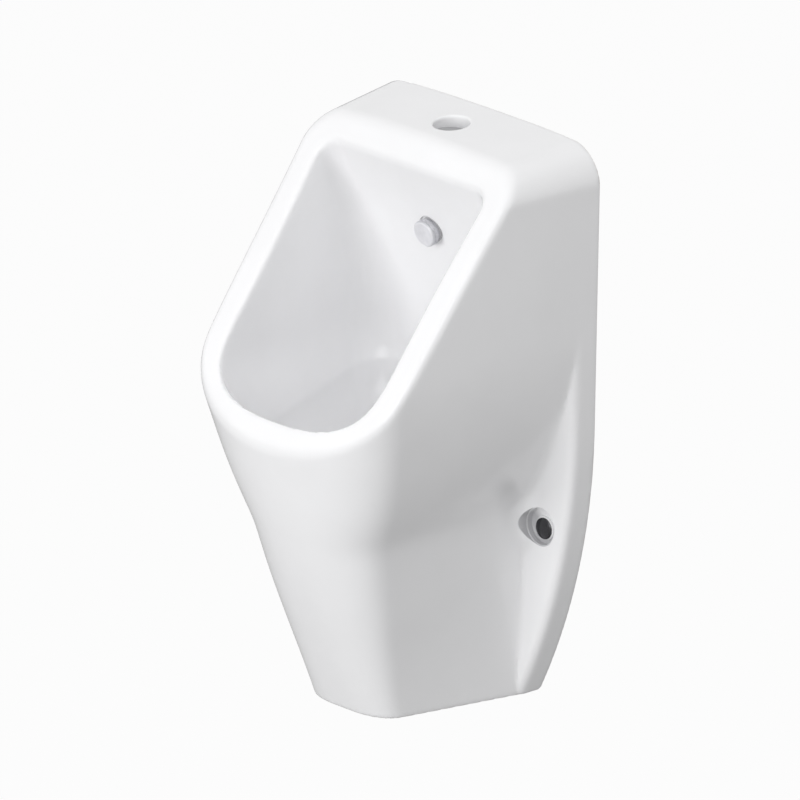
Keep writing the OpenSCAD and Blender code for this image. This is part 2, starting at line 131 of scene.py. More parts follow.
class UrinalStage(PropertyGroup):
    sky: FloatProperty(name="Sky", description="Strength of the even light", default=0.45, min=0, max=2)
    key: FloatProperty(name="Key light", description="Power of the large lamp in front", default=62.0,
                       min=0, max=400, unit="POWER")
    right: FloatProperty(name="Right light", description="Power of the lamp on the right of it", default=41.0,
                         min=0, max=400, unit="POWER")
    top: FloatProperty(name="Top light", description="Power of the lamp overhead", default=34.0,
                       min=0, max=400, unit="POWER")
    side: FloatProperty(name="Side light", description="Power of the lamp above the right side", default=14.0,
                        min=0, max=400, unit="POWER")
    floor_drop: FloatProperty(name="Floor", description="Distance of the floor below the body", default=0.36,
                              min=0.0, max=1.0, unit="LENGTH")


# Mesh helpers

def place(name, me, frame_mm, mat, body, nodes):
    """Links a mesh given in mm in a local frame as a finished piece on its body."""
    me.transform(Matrix.Scale(MM, 4) @ frame_mm)
    me.materials.clear()
    me.materials.append(mat)
    ob = bpy.data.objects.new(name, me)
    bpy.context.scene.collection.objects.link(ob)
    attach(ob, body)
    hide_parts(*nodes)


def smooth(me, angle=35.0):
    """Smooth shading, but for edges sharper than an angle in degrees."""
    me.shade_smooth()
    me.set_sharp_from_angle(angle=math.radians(angle))
    return me


def round_corners(pts, r, seg=3, closed=True):
    """Rounds the corners of a profile; r is one radius or one for each corner."""
    n, out = len(pts), []
    rs = r if isinstance(r, (list, tuple)) else [r] * n
    for i, p in enumerate(pts):
        if rs[i] <= 0 or (not closed and i in (0, n - 1)):
            out.append(p)
            continue
        a, b, c = (Vector(pts[(i + k) % n]) for k in (-1, 0, 1))
        u, w = (a - b), (c - b)
        lu, lw = u.length, w.length
        u, w = u / lu, w / lw
        ang = u.angle(w)
        if ang > math.pi - 0.03:
            out.append(p)
            continue
        t = min(rs[i] / math.tan(ang / 2), 0.45 * lu, 0.45 * lw)
        p0, p1 = b + u * t, b + w * t
        for k in range(seg + 1):
            s = k / seg
            q = p0 * (1 - s) ** 2 + b * 2 * s * (1 - s) + p1 * s ** 2
            out.append((q.x, q.y))
    return out


def outward(name, bm):
    """A mesh from closed faces, with every normal turned outward."""
    bmesh.ops.recalc_face_normals(bm, faces=bm.faces)
    if bm.calc_volume(signed=True) < 0:
        bmesh.ops.reverse_faces(bm, faces=bm.faces)
    me = bpy.data.meshes.new(name)
    bm.to_mesh(me)
    bm.free()
    return me


def bridged(name, bm, rings, seg, closed=True):
    """Joins each ring of points to the next by faces; a ring of one point is a pole."""
    n = len(rings)
    for i in range(n if closed else n - 1):
        a, b = rings[i], rings[(i + 1) % n]
        for k in range(seg):
            q = [a[k % len(a)], a[(k + 1) % len(a)], b[(k + 1) % len(b)], b[k % len(b)]]
            q = list(dict.fromkeys(q))
            if len(q) > 2:
                bm.faces.new(q)
    return outward(name, bm)


def lathe(name, pts, seg=96, closed=True):
    """Turns a profile (r, z) about Z: a ring from a closed profile, or a solid from pole to pole."""
    bm = bmesh.new()
    turn = [2 * math.pi * k / seg for k in range(seg)]
    rings = []
    for r, z in pts:
        if r < 1e-6:
            rings.append([bm.verts.new((0, 0, z))])
        else:
            rings.append([bm.verts.new((r * math.cos(a), r * math.sin(a), z)) for a in turn])
    return bridged(name, bm, rings, seg, closed)


def ring_piece(name, ro, ri, z0, z1, r=0.4, seg=96):
    """A plain ring with its corners rounded."""
    return lathe(name, round_corners([(ri, z0), (ro, z0), (ro, z1), (ri, z1)], r), seg)


def hex_nut(name, af, hole, z0, z1):
    """Six-sided nut, af across its flats, with its corners and its hole chamfered on both faces."""
    seg, bm = 72, bmesh.new()
    corner, face_r, tall, lip = af / math.sqrt(3) * 0.995, af / 2 * 1.03, 0.12 * af, 0.6
    rings = []
    for bore, z in ((hole / 2 + lip, z0), (None, z0), (None, z0 + tall), (None, z1 - tall), (None, z1),
                    (hole / 2 + lip, z1), (hole / 2, z1 - lip), (hole / 2, z0 + lip)):
        row = []
        for a in (2 * math.pi * k / seg for k in range(seg)):
            side = af / 2 / math.cos((a + math.pi / 6) % (math.pi / 3) - math.pi / 6)
            side = min(side, corner)
            r, dz = bore, 0.0
            if bore is None and z in (z0, z1):
                r = min(side, face_r)
            elif bore is None:
                r = side
                dz = (tall - max(side - face_r, 0) * 0.6 - 0.02 * af) * (-1 if z < (z0 + z1) / 2 else 1)
            row.append(bm.verts.new((r * math.cos(a), r * math.sin(a), z + dz)))
        rings.append(row)
    return bridged(name, bm, rings, seg)


def joined(name, meshes):
    """One mesh from several."""
    bm = bmesh.new()
    for me in meshes:
        bm.from_mesh(me)
    out = bpy.data.meshes.new(name)
    bm.to_mesh(out)
    bm.free()
    return out


def moved(me, m):
    me.transform(m)
    return me


# Node trees

def node(nt, kind, _in=None, **attrs):
    """A new node with its settings; each input is linked to an output or given a value."""
    n = nt.nodes.new(kind)
    for k, v in attrs.items():
        setattr(n, k, v)
    for k, v in (_in or {}).items():
        if hasattr(v, "is_output"):
            nt.links.new(v, n.inputs[k])
        else:
            n.inputs[k].default_value = v
    return n


def math_node(nt, op, a, b):
    return node(nt, "ShaderNodeMath", {0: a, 1: b}, operation=op).outputs[0]


def tree(name, sockets):
    """An empty geometry tree with named inputs; returns the tree, its input and its output."""
    ng = bpy.data.node_groups.new(name, "GeometryNodeTree")
    ng.interface.new_socket("Geometry", in_out="OUTPUT", socket_type="NodeSocketGeometry")
    ng.interface.new_socket("Geometry", in_out="INPUT", socket_type="NodeSocketGeometry")
    for label, kind, default in sockets:
        s = ng.interface.new_socket(label, in_out="INPUT", socket_type="NodeSocket" + kind)
        if default is not None:
            s.default_value = default
    return ng, ng.nodes.new("NodeGroupInput").outputs, ng.nodes.new("NodeGroupOutput")


def on_circle(ng, count, radius, height, piece):
    """Copies of a piece round the Z axis at a height."""
    circle = node(ng, "GeometryNodeMeshCircle", {"Vertices": count, "Radius": radius})
    up = node(ng, "ShaderNodeCombineXYZ", {"Z": height})
    lift = node(ng, "GeometryNodeSetPosition", {"Geometry": circle.outputs[0], "Offset": up.outputs[0]})
    return node(ng, "GeometryNodeInstanceOnPoints",
                {"Points": lift.outputs[0], "Instance": piece.outputs[0]}).outputs[0]


def ended(ng, geometry, material, go):
    """The tree, ended in Realize Instances and Set Material."""
    real = node(ng, "GeometryNodeRealizeInstances", {"Geometry": geometry})
    mat = node(ng, "GeometryNodeSetMaterial", {"Geometry": real.outputs[0], "Material": material})
    ng.links.new(mat.outputs[0], go.inputs[0])
    return ng


def ribs_tree():
    """Half-round ribs on a circle, joined to the turned core."""
    ng, gi, go = tree("ribs_round_a_ring", [
        ("Count", "Int", 16), ("Radius", "Float", 30.0), ("Rib width", "Float", 4.0),
        ("Rib length", "Float", 18.0), ("Height", "Float", 0.0), ("Material", "Material", None)])
    rib = node(ng, "GeometryNodeMeshCylinder", {
        "Vertices": 12, "Radius": math_node(ng, "MULTIPLY", gi["Rib width"], 0.5), "Depth": gi["Rib length"]})
    join = node(ng, "GeometryNodeJoinGeometry")
    ng.links.new(on_circle(ng, gi["Count"], gi["Radius"], gi["Height"], rib), join.inputs[0])
    ng.links.new(gi["Geometry"], join.inputs[0])
    return ended(ng, join.outputs[0], gi["Material"], go)


def perforations_tree():
    """Two rows of round holes cut through the turned core."""
    ng, gi, go = tree("rows_of_holes", [
        ("Inner count", "Int", 8), ("Inner radius", "Float", 10.0), ("Outer count", "Int", 12),
        ("Outer radius", "Float", 15.0), ("Hole width", "Float", 4.5), ("Height", "Float", 0.0),
        ("Material", "Material", None)])
    drill = node(ng, "GeometryNodeMeshCylinder", {
        "Vertices": 20, "Radius": math_node(ng, "MULTIPLY", gi["Hole width"], 0.5), "Depth": 14.0})
    cut = node(ng, "GeometryNodeMeshBoolean", operation="DIFFERENCE")
    ng.links.new(gi["Geometry"], cut.inputs[0])
    for row in ("Inner", "Outer"):
        drills = on_circle(ng, gi[row + " count"], gi[row + " radius"], gi["Height"], drill)
        real = node(ng, "GeometryNodeRealizeInstances", {"Geometry": drills})
        ng.links.new(real.outputs[0], cut.inputs[1])
    return ended(ng, cut.outputs[0], gi["Material"], go)


def grown(name, core, ng, values):
    """Runs a geometry tree on a core mesh and returns the result as a plain mesh."""
    ob = bpy.data.objects.new(name + "_core", core)
    bpy.context.scene.collection.objects.link(ob)
    mod = ob.modifiers.new("tree", "NODES")
    mod.node_group = ng
    for item in ng.interface.items_tree:
        if item.item_type == "SOCKET" and item.in_out == "INPUT" and item.name in values:
            mod[item.identifier] = values[item.name]
    dg = bpy.context.evaluated_depsgraph_get()
    me = bpy.data.meshes.new_from_object(ob.evaluated_get(dg), depsgraph=dg)
    me.name = name
    bpy.data.objects.remove(ob)
    return me


# Materials

def material(name):
    """A new material with its shader and its Object coordinates, or the one made before."""
    name = "urinal_" + name
    mat = bpy.data.materials.get(name)
    if mat:
        return mat, None, None, None
    mat = bpy.data.materials.new(name)
    mat.use_nodes = True
    nt = mat.node_tree
    bsdf = nt.nodes["Principled BSDF"]
    coord = nt.nodes.new("ShaderNodeTexCoord")
    return mat, nt, bsdf, coord.outputs["Object"]


def noise(nt, coord, scale, detail=3.0, rough=0.5, stretch=None):
    """Noise on Object coordinates; scale is in cycles per metre."""
    if stretch:
        coord = node(nt, "ShaderNodeMapping", {"Vector": coord, "Scale": stretch}).outputs[0]
    return node(nt, "ShaderNodeTexNoise", {
        "Vector": coord, "Scale": scale, "Detail": detail, "Roughness": rough}).outputs["Fac"]


def ramp(nt, fac, a, b, pos=(0.3, 0.7)):
    """A colour that runs from a to b as a factor passes two places."""
    n = node(nt, "ShaderNodeValToRGB", {0: fac})
    n.color_ramp.elements[0].position, n.color_ramp.elements[1].position = pos
    n.color_ramp.elements[0].color, n.color_ramp.elements[1].color = (*a, 1), (*b, 1)
    return n.outputs[0]


def spread(nt, fac, low, high):
    """The middle of a noise's range spread from low to high."""
    return node(nt, "ShaderNodeMapRange", {
        "Value": fac, "From Min": 0.3, "From Max": 0.7, "To Min": low, "To Max": high}).outputs[0]


def between(nt, value, zero, one):
    """0 to 1 as a value runs from one place to the other."""
    return node(nt, "ShaderNodeMapRange", {"Value": value, "From Min": zero, "From Max": one}).outputs[0]


def bump(nt, bsdf, height, strength, distance):
    n = node(nt, "ShaderNodeBump", {"Height": height, "Strength": strength, "Distance": distance})
    nt.links.new(n.outputs[0], bsdf.inputs["Normal"])


def vector_math(nt, op, a, b=(0, 0, 0), out=0):
    return node(nt, "ShaderNodeVectorMath", {0: a, 1: b}, operation=op).outputs[out]


def mixed(nt, fac, a, b, blend="MIX"):
    """Two colours, sockets or constants, mixed by a factor."""
    return node(nt, "ShaderNodeMix", {0: fac, 6: a, 7: b}, data_type="RGBA", blend_type=blend).outputs[2]


def shade(c, k):
    return tuple(min(v * k, 1.0) for v in c)


def glaze_mat(p):
    """White glaze with a faint waviness and pin-point specks, bare clay on the wall face and the foot."""
    mat, nt, bsdf, co = material("white_glaze")
    if nt is None:
        return mat
    tone = ramp(nt, noise(nt, co, 14, 4), shade(p.glaze, 0.985), shade(p.glaze, 1.01))
    speck = node(nt, "ShaderNodeTexVoronoi", {"Vector": co, "Scale": 240})
    dots = ramp(nt, speck.outputs["Distance"], (0.955, 0.955, 0.95), (1, 1, 1), (0.02, 0.06))
    tone = mixed(nt, 1.0, tone, dots, "MULTIPLY")
    # painted shadow: the glaze is greyed in the lower inner half of the side recesses, where shade falls
    # round the caps; distances in metres
    centre = (FIX_X * MM, 0, (FIX_Z + RECESS_UP) * MM)
    reach = vector_math(nt, "SUBTRACT", vector_math(nt, "ABSOLUTE", co), centre)
    far = vector_math(nt, "LENGTH", vector_math(nt, "MULTIPLY", reach, (1, 0, 1)), out=1)
    inner = vector_math(nt, "DOT_PRODUCT", reach, (0.7, 0, 0.7), out=1)
    # painted shadow mask: one in the lower inner part of each recess, none elsewhere
    thin = math_node(nt, "MULTIPLY", between(nt, far, 0.0197, 0.0192), between(nt, inner, 0.004, -0.005))
    tone = mixed(nt, thin, tone, (0.62, 0.62, 0.63, 1), "MULTIPLY")
    # bare clay within two millimetres of the wall face and one of the foot
    xyz = node(nt, "ShaderNodeSeparateXYZ", {0: co})
    bare = math_node(nt, "MAXIMUM", between(nt, xyz.outputs["Y"], -0.0022, -0.0006),
                     between(nt, xyz.outputs["Z"], 0.0014, 0.0004))
    clay = ramp(nt, noise(nt, co, 160, 6, 0.7), shade(p.bisque, 0.86), shade(p.bisque, 1.08))
    nt.links.new(mixed(nt, bare, tone, clay), bsdf.inputs["Base Color"])
    gloss = spread(nt, noise(nt, co, 38, 3), 0.16, 0.24)
    rough = node(nt, "ShaderNodeMix", {0: bare, 2: gloss, 3: 0.75})
    nt.links.new(rough.outputs[0], bsdf.inputs["Roughness"])
    bump(nt, bsdf, noise(nt, co, 120, 2), 0.05, 0.0004)
    bsdf.inputs["IOR"].default_value = 1.5
    return mat


def metal_mat(name, colour, rough, grain=None, grain_amount=0.06, metallic=1.0, edge=None):
    """Metal with cloudy wipe marks and an optional turned or brushed grain.

    An edge is a start, an axis and a distance along it; on this side of it the colour is greyed as painted
    shade.
    """
    mat, nt, bsdf, co = material(name)
    if nt is None:
        return mat
    bsdf.inputs["Metallic"].default_value = metallic
    tone = ramp(nt, noise(nt, co, 90, 4), shade(colour, 0.92), shade(colour, 1.05))
    if edge:
        start, axis, at = edge
        # painted shade: the side band of the spray head, behind its front face, is greyed
        along = vector_math(nt, "DOT_PRODUCT", vector_math(nt, "SUBTRACT", co, start), axis, out=1)
        tone = mixed(nt, between(nt, along, at, at - 0.0006), tone, (0.77, 0.77, 0.78, 1), "MULTIPLY")
    nt.links.new(tone, bsdf.inputs["Base Color"])
    cloud = noise(nt, co, 260, 5, 0.65)
    nt.links.new(spread(nt, cloud, rough * 0.7, rough * 1.5), bsdf.inputs["Roughness"])
    fine = noise(nt, co, 900, 2, 0.5, grain) if grain else noise(nt, co, 1500, 2)
    bump(nt, bsdf, fine, grain_amount, 0.0002)
    return mat


def plastic_mat(name, colour, rough=0.36, pore=700.0, relief=0.12):
    """Moulded plastic or rubber: slight colour drift, fine pores and uneven sheen."""
    mat, nt, bsdf, co = material(name)
    if nt is None:
        return mat
    tone = ramp(nt, noise(nt, co, 45, 4), shade(colour, 0.94), shade(colour, 1.04))
    nt.links.new(tone, bsdf.inputs["Base Color"])
    nt.links.new(spread(nt, noise(nt, co, 130, 3), rough * 0.85, rough * 1.2), bsdf.inputs["Roughness"])
    bump(nt, bsdf, noise(nt, co, pore, 4, 0.6), relief, 0.0003)
    return mat


def fitting_mats():
    """Every material of the fittings, each with the slot that it stands for."""
    f = bpy.context.scene.urinal_fittings
    tilt = math.radians(HEAD_TILT)
    # the front face of the spray head; the side band behind it gets painted shade
    face = (0, -HEAD_V * MM, HEAD_Z * MM), (0, -math.cos(tilt), -math.sin(tilt)), 0.0124
    return {
        "chrome": (metal_mat("polished_chrome", f.chrome, 0.07), "polished_chrome"),
        # painted reflection: chrome made near-black to stand in for what the caps reflect
        "cap_painted_reflection": (metal_mat("dark_chrome", f.cap_painted_reflection, 0.16), "polished_chrome"),
        "satin": (metal_mat("satin_chrome", f.satin, 0.42, (1, 1, 6), 0.08, 0.35, face), "satin_chrome"),
        "brass": (metal_mat("turned_brass", f.brass, 0.26, (1, 1, 14), 0.16), "brass"),
        "zinc": (metal_mat("zinc_plated_steel", (0.60, 0.61, 0.63), 0.3, (1, 9, 1), 0.12), "zinc_steel"),
        "plastic": (plastic_mat("white_moulded_plastic", f.plastic), "white_plastic"),
        "black": (plastic_mat("black_rubber", (0.022, 0.022, 0.023), 0.62, 900, 0.3), "black_rubber"),
        "pale": (plastic_mat("pale_rubber", (0.56, 0.56, 0.57), 0.6, 900, 0.25), "grey_rubber"),
        "grey": (plastic_mat("grey_rubber", (0.42, 0.42, 0.43), 0.6, 900, 0.25), "grey_rubber"),
    }


def fit(name, me, frame_mm, kind, cad_node, body="shell", angle=35.0):
    """Places a fitting in one of the materials, over its node of the frame."""
    mat, slot = fitting_mats()[kind]
    place(name, smooth(me, angle), frame_mm, mat, body, (cad_node,))


def ribbed(core, kind, count, radius, width, length, height):
    """A turned core with half-round ribs round it."""
    return grown(core.name, core, ribs_tree(), {
        "Count": count, "Radius": radius, "Rib width": width, "Rib length": length, "Height": height,
        "Material": fitting_mats()[kind][0]})


# The shape of the body, in mm
# v is the distance in front of the wall, z the height

def table(rows):
    """Smooth (Hermite) curve through the rows of a table."""
    z, v = np.array(rows, float).T
    s = np.diff(v) / np.diff(z)
    t = np.concatenate([s[:1], (s[:-1] + s[1:]) / 2, s[-1:]])

    def f(q):
        q = np.clip(q, z[0], z[-1])
        i = np.clip(np.searchsorted(z, q, "right") - 1, 0, len(z) - 2)
        h = z[i + 1] - z[i]
        u = (q - z[i]) / h
        a, b = u * u * (3 - 2 * u), u * (1 - u)
        return v[i] * (1 - a) + v[i + 1] * a + h * b * ((1 - u) * t[i] - u * t[i + 1])
    return f


TAPER = table([[0, 0.212], [165, 0.056], [290, 0.083], [366, 0.079], [562, 0.125]])
NOSE = table([[0, 178.7], [165, 248.6], [290, 290], [366, 313.6], [562, 353.6]])
NOSE_START = table([[0, 151], [165, 196.3], [290, 224.4], [366, 237.4], [562, 237.4]])
NOSE_POWER = table([[0, 2.85], [165, 2.2], [290, 2.1], [366, 2.12], [562, 2.12]])
BOWL_BACK = table([[222, 60], [300, 27], [320, 28.5], [343, 34], [375, 44.5], [408, 55.5], [435, 65],
                   [468, 76.5], [501, 92], [529.7, 107.7], [560, 126]])
BOWL_SIDE = table([[222, 14], [250, 16], [300, 20], [320, 21.8], [366, 28.5], [560, 28.5]])
BOWL_NOSE = table([[222, 234], [250, 246], [290, 261], [313, 272.6], [366, 303], [560, 330]])
BOWL_START = table([[222, 150], [300, 188], [366, 208], [560, 208]])
BOWL_POWER = table([[222, 2.3], [300, 2.6], [366, 2.8], [560, 2.8]])
BOWL_CORNER = table([[222, 46], [300, 38], [400, 30], [500, 22], [530, 20], [560, 20]])
# a point of the slanting plane of the rim, and its direction
RIM_V, RIM_Z, RIM_NV, RIM_NZ = 90.3, 552.5, 0.79535, 0.60623
# thickness of the walls; the dish's centre, floor, flat part and power, and the top of the bowl
WALL, BOWL_C, BOWL_FLOOR, BOWL_FLAT, DISH, BOWL_TOP = 11.0, 122.0, 222.0, 36.0, 2.4, 560
# half width and top of the body, half width of the skirt at the wall
HALF_W, TOP_Z, SKIRT_HALF = 152.5, 562, 90
# where the belly starts to flare and where it is full, and the power of the flare
FLARE_Z, BELLY_Z, FLARE = 203, 385, 2.3
# the back plate: its thickness, and the height below which a large radius draws it in
PLATE_V, PLATE_Z, PLATE_R = 30, 280, 620
# the tie across the foot of the hollow back: half width, thickness and height
TIE_X, TIE_V, TIE_Z = 80, 12, 14
# reach of the grid, and the number of triangles that the body is thinned to
GRID_X, GRID_V, GRID_Z, BODY_FACES = 156, 296, 568, 168000


def step(a, b, x):
    """0 to 1, smoothly, as x runs from a to b."""
    u = np.clip((x - a) / (b - a), 0, 1)
    return u * u * (3 - 2 * u)


def higher(a, b, k):
    """Maximum with its crease rounded over about k."""
    h = np.maximum(k - np.abs(a - b), 0)
    return np.maximum(a, b) + h * h / (4 * k)


def lower(a, b, k):
    return -higher(-a, -b, k)


def plate_x(z):
    """Half width of the back plate: straight above PLATE_Z, drawn in by a large radius below."""
    return HALF_W - PLATE_R + np.sqrt(PLATE_R ** 2 - np.clip(PLATE_Z - z, 0, None) ** 2)


def side_x(v, z):
    """Half width of the outside at a place: the belly flares out of the skirt."""
    z0 = FLARE_Z - 0.06 * v
    u = (z - z0) / (BELLY_Z - z0)
    rise = np.where(u < 0, FLARE * u, 1 - np.clip(1 - u, 0, 1) ** FLARE)
    f = SKIRT_HALF + (HALF_W - SKIRT_HALF) * rise
    w = np.minimum(HALF_W, (SKIRT_HALF + f + np.sqrt((SKIRT_HALF - f) ** 2 + 144)) / 2 - 0.6)
    return np.minimum(w - TAPER(z) * np.maximum(v, 0), plate_x(z))


def lifted(x, v, z):
    """Height before the fall of the top face: 9.5 over 90 to the front, 4.3 over 150 to the sides."""
    zz = z
    for _ in range(2):
        zz = z + step(430, TOP_Z, zz) * (9.5 * np.maximum(v, 0) / 90 + 4.3 * x * x / 150 ** 2)
    return zz


def skin_f(x, v, z):
    """Outside of the body at its height: straight sides and a rounded nose."""
    zz = lifted(x, v, z)
    a, va, yf, n = np.maximum(side_x(v, zz), 5), NOSE_START(zz), NOSE(zz), NOSE_POWER(zz)
    u = np.maximum(v - va, 0) / (yf - va)
    return (((np.abs(x) / a) ** n + u ** n) ** (1 / n) - 1) * a


def shoulder(v):
    """Height at which the walls of the bowl end and its dish begins."""
    return 294 - 0.2 * (v - 26)


def rim_f(v, z):
    """Distance above the slanting plane of the rim."""
    return (v - RIM_V) * RIM_NV + (z - RIM_Z) * RIM_NZ


def bowl_f(x, v, z):
    """Bowl above its shoulder: back wall, rounded back corners, sides and curved front."""
    m = np.clip((z - shoulder(v)) / (BOWL_TOP - shoulder(v)), -0.2, 1.2)
    zb, zf, zm = (shoulder(q) + (BOWL_TOP - shoulder(q)) * m for q in (26.0, 255.0, 120.0))
    vb, r, yf, va, n = BOWL_BACK(zb), BOWL_CORNER(zb), BOWL_NOSE(zf), BOWL_START(zm), BOWL_POWER(zm)
    bx = np.maximum(side_x(v, z) - BOWL_SIDE(z), 5)
    dx, dv = np.abs(x) - (bx - r), vb + r - v
    back = np.where((dx > 0) & (dv > 0), np.hypot(dx, dv), np.maximum(dx, dv)) - r
    u = np.maximum(v - va, 0) / (yf - va)
    return np.where(v > va, (((np.abs(x) / bx) ** n + u ** n) ** (1 / n) - 1) * bx, back)


def shoulder_outline():
    """Direction and reach of the bowl's edge at its shoulder, seen from the waste."""
    ph = np.linspace(-np.pi / 2, np.pi / 2, 181)
    near, far = np.full_like(ph, 10.0), np.full_like(ph, 200.0)
    for _ in range(30):
        r = (near + far) / 2
        x, v = r * np.cos(ph), BOWL_C + r * np.sin(ph)
        out = bowl_f(x, v, shoulder(v)) > 0
        far, near = np.where(out, r, far), np.where(out, near, r)
    return ph, r


OUTLINE = shoulder_outline()


def dish_f(x, v, z):
    """Bowl below its shoulder: a dish that runs down to the flat round the waste."""
    a = np.arctan2(v - BOWL_C, np.abs(x))
    reach = np.interp(a, *OUTLINE)
    r = np.hypot(x, v - BOWL_C)
    sh = shoulder(BOWL_C + reach * np.sin(a) * step(0, BOWL_FLAT, r))
    u = np.maximum(r - BOWL_FLAT, 0) / (reach - BOWL_FLAT)
    w = np.maximum(sh - z, 0) / (sh - BOWL_FLOOR)
    return ((u ** DISH + w ** DISH) ** (1 / DISH) - 1) * 60


def as_distance(f, x, v, z, h):
    """A shape function turned into a distance by the length of its slope; h is the grid's step, if any."""
    g = f(x, v, z)
    if h:
        d = np.gradient(g, h)
    else:
        e = 0.6
        ways = [(e * (i == 0), e * (i == 1), e * (i == 2)) for i in range(3)]
        d = [(f(x + a, v + b, z + c) - f(x - a, v - b, z - c)) / (2 * e) for a, b, c in ways]
    return g / np.maximum(np.sqrt(d[0] ** 2 + d[1] ** 2 + d[2] ** 2), 0.2)


def inner_f(x, v, z, h=None):
    """Distance from the inside of the bowl, walls and dish."""
    return np.where(z > shoulder(v), as_distance(bowl_f, x, v, z, h), as_distance(dish_f, x, v, z, h))


def outer_f(x, v, z, h=None):
    """Distance from the outer skin with its top face and its large round top corners."""
    zz = lifted(x, v, z)
    skin = as_distance(skin_f, x, v, z, h)
    r = 39 - 0.07 * np.clip(v, 0, 120)
    dx, dz = np.abs(x) - side_x(v, zz) + r, zz - TOP_Z + r
    corner = np.where((dx > 0) & (dz > 0), np.hypot(dx, dz), np.maximum(dx, dz)) - r
    return np.maximum(skin, np.where(dz > -20, corner, zz - TOP_Z))


def body_f(p, x, v, z, h=None):
    """Signed distance of the whole fired body without its holes; negative inside."""
    skin, bowl, rim = outer_f(x, v, z, h), inner_f(x, v, z, h), rim_f(v, z)
    # the back plate, drawn in with the belly and faded out above it, with a fillet beside the recess
    narrow = TAPER(z) * step(250, BELLY_Z, z) * np.maximum(v, 0)
    plate = higher(np.abs(x) - plate_x(z) + narrow, v - PLATE_V, p.plate_round / MM)
    plate = plate + 60 * step(BELLY_Z, 430, z)
    at_recess = 5 + 18 * step(138, 166, z) * (1 - 0.7 * step(186, 215, z))
    fillet = at_recess * step(3, 22, plate_x(z) - side_x(26, z)) + 0.01
    body = higher(lower(skin, plate, fillet), rim, p.rim_round / MM)
    # the hollow back, a wall's thickness inside every face, with a tie across its foot
    top = lifted(x, v, z) - TOP_Z
    void = higher(np.maximum(skin, top + 1) + WALL, np.maximum(WALL - bowl, rim + WALL + 1), 14)
    body = higher(body, -void, 5)
    tie = higher(higher(np.abs(x) - TIE_X, z - TIE_Z, 3), v - TIE_V, 3)
    body = higher(np.minimum(body, tie), -bowl, p.bowl_round / MM)
    return higher(higher(body, -z, 3), -v, 3)


def quads_of(f, org, h):
    """Closed quad skin of f = 0 on a regular grid."""
    s = f < 0
    full = np.array(f.shape) - 1
    cnt, pos = np.zeros(full), np.zeros((*full, 3))
    for a in np.ndindex(2, 2, 2):
        for ax in range(3):
            if a[ax]:
                continue
            b = [a[i] + (i == ax) for i in range(3)]
            fa, fb = (f[tuple(slice(q[i], full[i] + q[i]) for i in range(3))] for q in (a, b))
            hit = (fa < 0) != (fb < 0)
            t = np.where(hit, fa / np.where(hit, fa - fb, 1), 0)
            cnt += hit
            for i in range(3):
                pos[..., i] += np.where(hit, a[i] + (t if i == ax else 0), 0)
    act = cnt > 0
    idx = np.full(act.shape, -1)
    idx[act] = np.arange(act.sum())
    pts = org + h * (np.argwhere(act) + pos[act] / cnt[act][:, None])
    quads = []
    for ax in range(3):
        o = [i for i in range(3) if i != ax]
        cut = [slice(1, -1) if i in o else slice(None) for i in range(3)]
        lo_s, hi_s = list(cut), list(cut)
        lo_s[ax], hi_s[ax] = slice(0, -1), slice(1, None)
        a, b = s[tuple(lo_s)], s[tuple(hi_s)]
        base = np.argwhere(a != b)
        inside = a[a != b]
        for i in o:
            base[:, i] += 1
        ring = []
        for d0, d1 in ((1, 1), (0, 1), (0, 0), (1, 0)):
            q = base.copy()
            q[:, o[0]] -= d0
            q[:, o[1]] -= d1
            ring.append(idx[tuple(q.T)])
        ring = np.stack(ring, 1)
        turn = inside if ax == 1 else ~inside
        ring[turn] = ring[turn][:, ::-1]
        quads.append(ring)
    return pts, np.concatenate(quads)


def body_mesh(p):
    """The body as a smooth mesh in mm, drawn on a grid and then settled on the exact shape."""
    h = p.step / MM
    nx = int(GRID_X / h) + 1
    axes = h * np.arange(-nx, nx + 1), np.arange(-2.5 * h, GRID_V, h), np.arange(-2.5 * h, GRID_Z, h)
    grid = np.meshgrid(*axes, indexing="ij")
    pts, quads = quads_of(body_f(p, *grid, h), np.array([q[0] for q in axes]), h)
    e = 0.5
    for _ in range(2):
        f0 = body_f(p, *pts.T)
        d = np.stack([body_f(p, *(pts + e * np.eye(3)[i]).T) - f0 for i in range(3)], 1) / e
        size = np.maximum((d ** 2).sum(1), 0.25)
        pts = pts - np.clip(f0 / size, -0.35 * h, 0.35 * h)[:, None] * d
    # no point may leave the box of the CAD
    low, high = (np.array(c) / MM for c in CAD_BOX)
    half = min(-low[0], high[0])
    pts = np.clip(pts, (-half, 0, 0), (half, -low[1], high[2]))
    me = bpy.data.meshes.new("ceramic_body")
    me.from_pydata(np.stack([pts[:, 0], -pts[:, 1], pts[:, 2]], 1).tolist(), [], quads[:, ::-1].tolist())
    me.update()
    return me, pts


